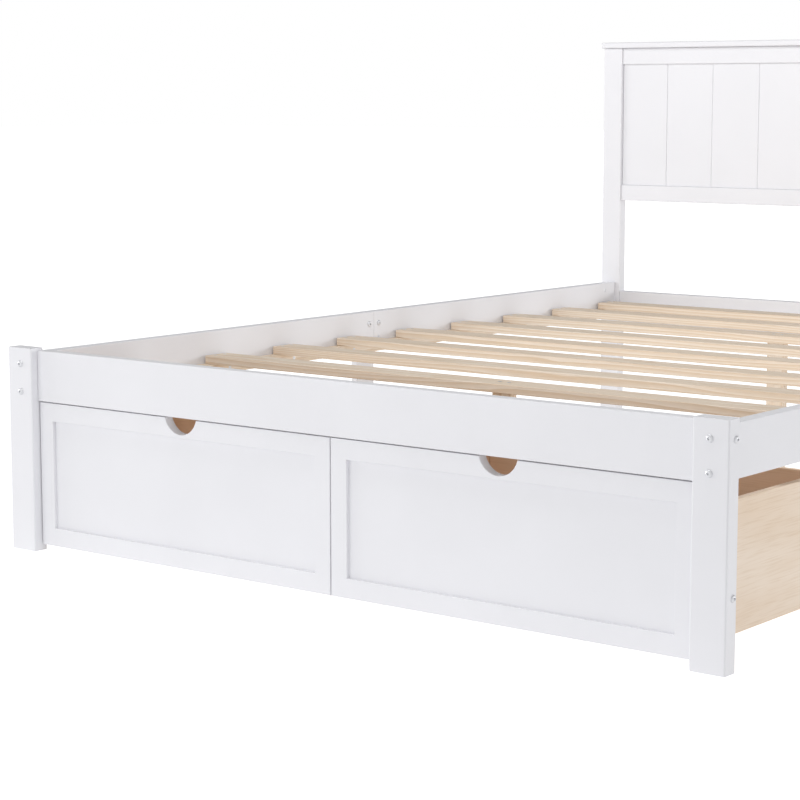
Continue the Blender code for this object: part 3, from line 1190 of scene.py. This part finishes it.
class BEDFRAME_OT_castors(bpy.types.Operator):
    """Wheels and the bored rails that hold them under the drawers"""

    bl_idname = "bedframe.castors"
    bl_label = "Castors"

    def execute(self, context):
        for side in SIDES:
            for hand in SIDES:
                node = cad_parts[f"drawer_{side}_castor_rail_{hand}"]
                node.data.materials.clear()
                node.data.materials.append(planed_pine("y"))
                for end in ("front", "back"):
                    self.wheel(f"drawer_{side}_wheel_{hand}_{end}")
        return {"FINISHED"}

    def wheel(self, node):
        low, high = corners(node)
        radius = (high.z - low.z) / 2
        pin = (high.x - low.x) / 2
        # Half the tread's width, the axle's radius, and the reach of the boss along the axle.
        half, axle, boss = 0.008, 0.0030, 0.0083
        upper = [
            (0.0, pin),
            (axle - 0.0004, pin),
            (axle, pin - 0.0005),
            (axle, boss),
            (radius * 0.30, boss),
            (radius * 0.33, half),
            (radius * 0.34, half - 0.0022),
            (radius * 0.70, half - 0.0026),
            (radius * 0.74, half - 0.0006),
            (radius * 0.78, half),
            (radius - 0.0018, half),
            (radius - 0.0006, half - 0.0006),
            (radius, half - 0.0020),
            (radius, 0.0012),
            (radius - 0.0004, 0.0004),
        ]
        profile = upper + [(r, -h) for r, h in reversed(upper)]
        bm = bmesh.new()
        add_lathe(bm, profile, middle(node), (1, 0, 0), steps=48)
        bmesh.ops.recalc_face_normals(bm, faces=bm.faces)
        piece = softened(object_from(bm, f"nylon_{node}"), SMALL_PART_ANGLE)
        fitted(piece, f"{node}_body", moulded_nylon(), [node])


class BEDFRAME_OT_fasteners(bpy.types.Operator):
    """Button bolts, barrel nuts and wood screws"""

    bl_idname = "bedframe.fasteners"
    bl_label = "Fasteners"

    def bolt_spots(self):
        spots = []
        for side, sign in SIGN.items():
            post_low = corners(f"foot_post_{side}")[0]
            outer = outer_side(f"foot_post_{side}", sign)
            inner = inner_side(f"side_rail_{side}_foot", sign)
            rail_end = corners(f"side_rail_{side}_foot")[1].y
            joint = (rail_end + corners(f"side_rail_{side}_head")[0].y) / 2
            head_post = f"head_post_{side}"
            back, along = corners(head_post)[1].y, middle(head_post).y
            for number in (1, 2):
                bolt = middle(f"foot_post_bolt_{side}_{number}")
                spots.append(((bolt.x, post_low.y, bolt.z), (0, -1, 0)))
            for height in FOOT_POST_SIDE_BOLTS:
                place = (outer, post_low.y + FOOT_POST_SIDE_DEPTH, height)
                spots.append((place, (sign, 0, 0)))
            for height in RAIL_JOINT_BOLTS:
                for shift in (-RAIL_JOINT_SHIFT, RAIL_JOINT_SHIFT):
                    spots.append(((inner, joint + shift, height), (-sign, 0, 0)))
            for height in HEAD_POST_BACK_BOLTS:
                spots.append(((sign * HEAD_POST_BACK_OUT, back, height), (0, 1, 0)))
            for height in HEAD_POST_SIDE_BOLTS:
                spots.append(((outer, along, height), (sign, 0, 0)))
        return spots

    def nut_spots(self):
        spots = []
        foot_high = corners("foot_rail")[1]
        head_low, head_high = corners("head_rail")
        for side, sign in SIGN.items():
            inner = inner_side(f"side_rail_{side}_foot", sign)
            first = corners(f"side_rail_{side}_foot")[0].y + NUT_INSET
            last = corners(f"side_rail_{side}_head")[1].y - NUT_INSET
            for height in SIDE_RAIL_NUTS:
                for y in (first, last):
                    spots.append(((inner, y, height), (-sign, 0, 0)))
            foot_x, head_x = sign * (foot_high.x - NUT_INSET), sign * (head_high.x - NUT_INSET)
            spots.append(((foot_x, foot_high.y, FOOT_RAIL_NUT), (0, 1, 0)))
            spots.append(((head_x, head_low.y, HEAD_RAIL_NUT), (0, -1, 0)))
        return spots

    def frame_screw_spots(self):
        spots = []
        for node in slat_nodes():
            low, high = corners(node)
            for sign in SIGN.values():
                for share in SLAT_SCREW_SHARES:
                    y = low.y + share * (high.y - low.y)
                    spots.append(((sign * (high.x - SLAT_SCREW_INSET), y, high.z), (0, 0, 1)))
        top = corners("slat_03")[1].z
        for end in ENDS:
            for shift in (-LEG_SCREW_SHIFT, LEG_SCREW_SHIFT):
                spots.append(((shift, middle(f"centre_leg_{end}").y, top), (0, 0, 1)))
        for side, sign in SIGN.items():
            for end in ENDS:
                node = f"slat_cleat_{side}_{end}"
                low, high = corners(node)
                for number in range(CLEAT_SCREWS):
                    y = low.y + (number + 0.5) / CLEAT_SCREWS * (high.y - low.y)
                    place = (inner_side(node, sign), y, (low.z + high.z) / 2)
                    spots.append((place, (-sign, 0, 0)))
        return spots

    def drawer_screw_spots(self, side):
        spots = []
        back = middle(f"drawer_{side}_back").y
        for hand, sign in SIGN.items():
            low, high = corners(f"drawer_{side}_side_{hand}")
            face = high.x if sign > 0 else low.x
            for height in BOX_SCREWS:
                spots.append(((face, back, height), (sign, 0, 0)))
        low, high = corners(f"drawer_{side}_front")
        for share in FRONT_SCREW_SHARES:
            for height in FRONT_SCREWS:
                x = low.x + share * (high.x - low.x)
                spots.append(((x, high.y - FRONT_SCREW_DEPTH, height), (0, 1, 0)))
        return spots

    def execute(self, context):
        seed = sizes().seed
        bolt, screw, nut = bolt_part(), screw_part(), nut_part()
        zinc = bright_zinc_plate()
        bolts = fastener_row("button_bolts", bolt, self.bolt_spots(), seed, zinc)
        covered = [f"foot_post_bolt_{side}_{number}" for side in SIDES for number in (1, 2)]
        fitted(bolts, FRAME, None, covered)
        nuts = fastener_row("barrel_nuts", nut, self.nut_spots(), seed + 1, zinc)
        fitted(nuts, FRAME)
        screws = fastener_row("frame_screws", screw, self.frame_screw_spots(), seed + 2, zinc)
        fitted(screws, FRAME)
        for side in SIDES:
            name = f"drawer_{side}_screws"
            spots = self.drawer_screw_spots(side)
            fitted(fastener_row(name, screw, spots, seed + 3, zinc), f"drawer_{side}")
        for part in (bolt, screw, nut):
            bpy.data.objects.remove(part)
        return {"FINISHED"}


class BEDFRAME_OT_stage(bpy.types.Operator):
    """Pale floor, soft studio light and the camera"""

    bl_idname = "bedframe.stage"
    bl_label = "Stage"

    def floor(self):
        bm = bmesh.new()
        bmesh.ops.create_grid(bm, x_segments=8, y_segments=8, size=FLOOR_HALF_SIZE)
        floor = object_from(bm, "studio_floor")
        material, tree, shader = new_material("matt_studio_floor")
        shader.inputs["Base Color"].default_value = (*colours().floor, 1.0)
        shader.inputs["Roughness"].default_value = 0.9
        shader.inputs["Specular IOR Level"].default_value = 0.0
        shader.inputs["Emission Color"].default_value = (1.0, 1.0, 1.0, 1.0)
        rays = add_node(tree, "ShaderNodeLightPath")
        glow = add_node(
            tree,
            "ShaderNodeMapRange",
            inputs={
                "Value": rays.outputs["Is Camera Ray"],
                "To Min": FLOOR_GLOW,
                "To Max": FLOOR_GLOW_SEEN,
            },
        )
        tree.links.new(glow.outputs["Result"], shader.inputs["Emission Strength"])
        floor.data.materials.append(material)

    def world(self, context):
        world = bpy.data.worlds.new("studio_white")
        context.scene.world = world
        world.use_nodes = True
        tree = world.node_tree
        tree.nodes.clear()
        where = add_node(tree, "ShaderNodeTexCoord")
        parts = add_node(
            tree, "ShaderNodeSeparateXYZ", inputs={"Vector": where.outputs["Generated"]}
        )
        total = None
        for axis, (plus, minus) in WORLD_LIGHT.items():
            for gain, sign in ((plus, 1.0), (minus, -1.0)):
                signed = add_node(
                    tree,
                    "ShaderNodeMath",
                    {"operation": "MULTIPLY"},
                    {0: parts.outputs[axis], 1: sign},
                )
                lobe = add_node(
                    tree, "ShaderNodeMath", {"operation": "MAXIMUM"}, {0: signed.outputs[0], 1: 0.0}
                )
                term = add_node(
                    tree,
                    "ShaderNodeMath",
                    {"operation": "MULTIPLY_ADD"},
                    {0: lobe.outputs[0], 1: gain, 2: WORLD_BASE if total is None else total},
                )
                total = term.outputs[0]
        soft = add_node(tree, "ShaderNodeBackground", inputs={"Strength": total})
        plain = add_node(tree, "ShaderNodeBackground", inputs={"Strength": 1.0})
        for shade in (soft, plain):
            shade.inputs["Color"].default_value = (1.0, 1.0, 1.0, 1.0)
        rays = add_node(tree, "ShaderNodeLightPath")
        both = add_node(
            tree,
            "ShaderNodeMixShader",
            inputs={0: rays.outputs["Is Camera Ray"], 1: soft.outputs[0], 2: plain.outputs[0]},
        )
        add_node(tree, "ShaderNodeOutputWorld", inputs={"Surface": both.outputs[0]})

    def lamps(self):
        for name, (place, aim, width, height, power) in LAMPS.items():
            light = bpy.data.lights.new(name, "AREA")
            light.shape = "RECTANGLE"
            light.size, light.size_y = width, height
            light.energy = power
            lamp = new_object(name, light)
            lamp.location = place
            towards = Vector(aim) - Vector(place)
            lamp.rotation_euler = towards.to_track_quat("-Z", "Y").to_euler()
            lamp.visible_camera = False

    def camera(self, context):
        data = bpy.data.cameras.new("studio_camera")
        data.lens = CAMERA["lens"]
        data.sensor_width = 36.0
        data.clip_end = 200.0
        camera = new_object("studio_camera", data)
        turn = Euler((math.radians(90.0 - CAMERA["down"]), 0.0, math.radians(CAMERA["left"])))
        camera.matrix_world = Matrix.Translation(CAMERA["place"]) @ turn.to_matrix().to_4x4()
        context.scene.camera = camera

    def execute(self, context):
        self.floor()
        self.world(context)
        self.lamps()
        self.camera(context)
        context.scene.view_settings.view_transform = "Standard"
        context.scene.view_settings.look = "None"
        return {"FINISHED"}


class BEDFRAME_PT_panel(bpy.types.Panel):
    """Lists the steps that build the bed"""

    bl_label = "Bed Frame"
    bl_idname = "BEDFRAME_PT_panel"
    bl_space_type = "VIEW_3D"
    bl_region_type = "UI"
    bl_category = "Bed Frame"

    def draw(self, context):
        for operator in OPERATORS:
            self.layout.operator(operator.bl_idname)
        for group in (context.scene.bed_frame_sizes, context.scene.bed_frame_colours):
            for name in group.__annotations__:
                self.layout.prop(group, name)


OPERATORS = (
    BEDFRAME_OT_painted_joinery,
    BEDFRAME_OT_headboard_planks,
    BEDFRAME_OT_slats,
    BEDFRAME_OT_drawers,
    BEDFRAME_OT_castors,
    BEDFRAME_OT_fasteners,
    BEDFRAME_OT_stage,
)
CLASSES = (BedFrameSizes, BedFrameColours, *OPERATORS, BEDFRAME_PT_panel)


def register():
    for cls in CLASSES:
        bpy.utils.register_class(cls)
    bpy.types.Scene.bed_frame_sizes = bpy.props.PointerProperty(type=BedFrameSizes)
    bpy.types.Scene.bed_frame_colours = bpy.props.PointerProperty(type=BedFrameColours)


def unregister():
    del bpy.types.Scene.bed_frame_colours
    del bpy.types.Scene.bed_frame_sizes
    for cls in reversed(CLASSES):
        bpy.utils.unregister_class(cls)


def main():
    register()
    bpy.ops.bedframe.painted_joinery()
    bpy.ops.bedframe.headboard_planks()
    bpy.ops.bedframe.slats()
    bpy.ops.bedframe.drawers()
    bpy.ops.bedframe.castors()
    bpy.ops.bedframe.fasteners()
    bpy.ops.bedframe.stage()


if __name__ == "__main__":
    main()
